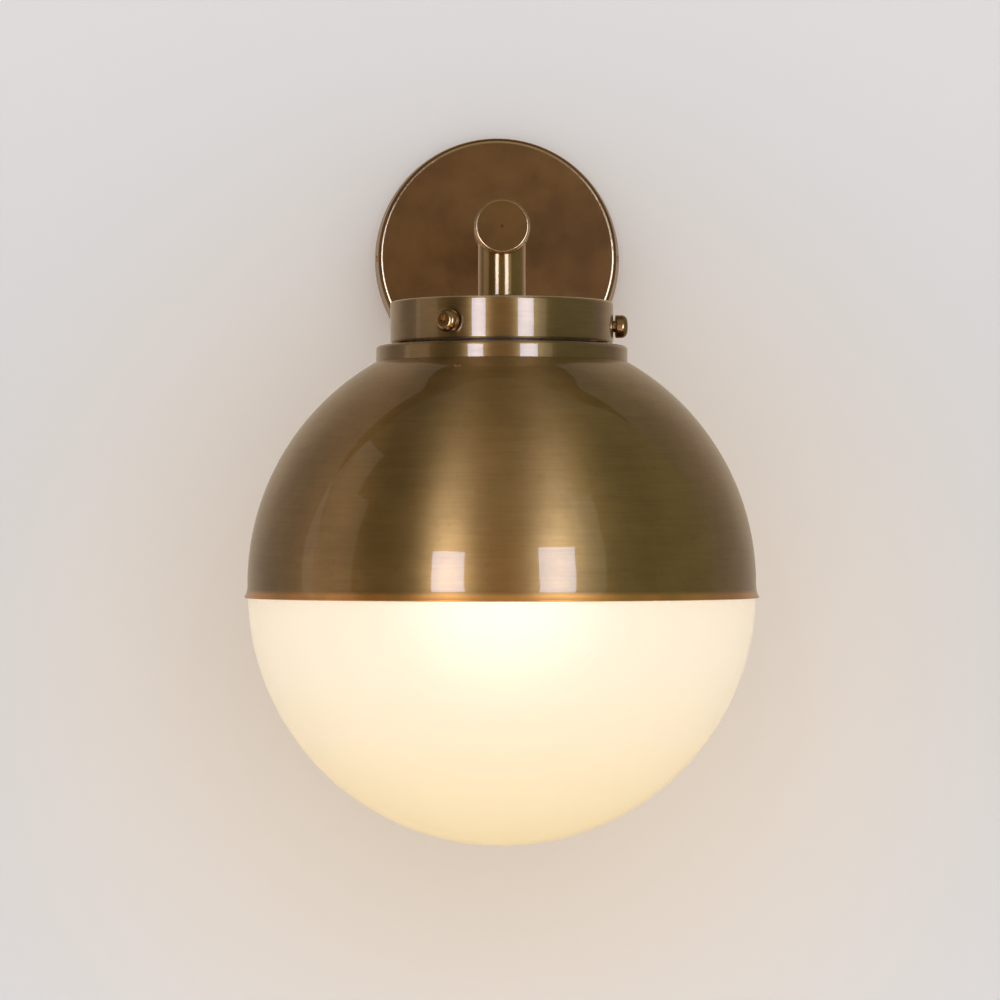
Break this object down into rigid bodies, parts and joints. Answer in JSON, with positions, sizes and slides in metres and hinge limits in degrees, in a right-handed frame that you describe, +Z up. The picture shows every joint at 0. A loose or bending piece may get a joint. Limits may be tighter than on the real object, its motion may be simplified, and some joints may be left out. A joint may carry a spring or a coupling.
{
  "type": "globe wall light",
  "caption": "Down-facing globe wall light: round wall plate, arm, elbow, stem and screw-fixed gallery carrying an opal glass globe under a spun brass dome.",
  "frame": {"origin": "centre of the wall plate's back, on the wall surface and on the arm's axis, midway between the two wall screw slots", "axes": "+X to the right of someone facing the wall, +Y into the wall, +Z up; the globe hangs along -Z at the arm's end, which points along -Y"},
  "size_m": [0.2026, 0.2713, 0.2966],
  "materials": {
    "plate_brass": "satin, aged",
    "polished_brass": "polished, aged",
    "gallery_brass": "fine brushed, lacquered, aged",
    "dome_brass": "spun, fine brushed, lacquered, aged",
    "inner_brass": "plain turned",
    "screw_bronze": "dark, polished",
    "steel": "zinc plated",
    "opal_glass": "opal, satin",
    "bulb_glass": "opal",
    "bulb_metal": "bright",
    "holder_plastic": "moulded",
    "ceramic": "glazed",
    "block_plastic": "moulded",
    "silicone": "soft"
  },
  "bodies": {
    "light": {"wall_plate": "plate_brass", "wall_bracket": "steel", "arm_tube": "polished_brass", "arm_bush": "inner_brass", "arm_threaded_tube": "inner_brass", "arm_washer": "steel", "arm_lock_nut": "steel", "elbow": "polished_brass", "elbow_cap": "polished_brass", "stem_tube": "polished_brass", "stem_flange": "polished_brass", "stem_threaded_tube": "inner_brass", "gallery": "gallery_brass", "gallery_washer": "steel", "gallery_lock_nut": "steel", "gallery_bushes": "inner_brass", "dome": "dome_brass", "dome_collar": "gallery_brass", "dome_seal": "silicone", "glass_globe": "opal_glass", "lampholder_cap": "holder_plastic", "lampholder_core": "ceramic", "lampholder_contact": "inner_brass", "lampholder_skirt": "holder_plastic", "terminal_block": "block_plastic", "terminal_tubes": "inner_brass", "terminal_screws": "steel", "block_screw": "steel", "earth_screw": "steel", "earth_washer": "inner_brass"},
    "bulb": {"bulb_cap": "bulb_metal", "bulb_insulator": "holder_plastic", "bulb_contact": "bulb_metal", "bulb_envelope": "bulb_glass"},
    "gallery_screw_front": {"gallery_screw_1": "screw_bronze"},
    "gallery_screw_right": {"gallery_screw_2": "screw_bronze"},
    "gallery_screw_back": {"gallery_screw_3": "screw_bronze"},
    "side_screw_a": {"side_screw_left": "screw_bronze"},
    "side_screw_b": {"side_screw_right": "screw_bronze"}
  },
  "joints": [
    {"name": "bulb_unscrew", "type": "slide", "parent": "light", "child": "bulb", "axis": [0, 0, -1], "range_m": [0, 0.026]},
    {"name": "gallery_screw_1_out", "type": "slide", "parent": "light", "child": "gallery_screw_front", "axis": [-0.4617, -0.887, 0], "range_m": [0, 0.005]},
    {"name": "gallery_screw_2_out", "type": "slide", "parent": "light", "child": "gallery_screw_right", "axis": [0.999, 0.0436, 0], "range_m": [0, 0.005]},
    {"name": "gallery_screw_3_out", "type": "slide", "parent": "light", "child": "gallery_screw_back", "axis": [-0.5373, 0.8434, 0], "range_m": [0, 0.005]},
    {"name": "side_screw_left_out", "type": "slide", "parent": "light", "child": "side_screw_a", "axis": [-1, 0, 0], "range_m": [0, 0.005]},
    {"name": "side_screw_right_out", "type": "slide", "parent": "light", "child": "side_screw_b", "axis": [1, 0, 0], "range_m": [0, 0.005]}
  ]
}
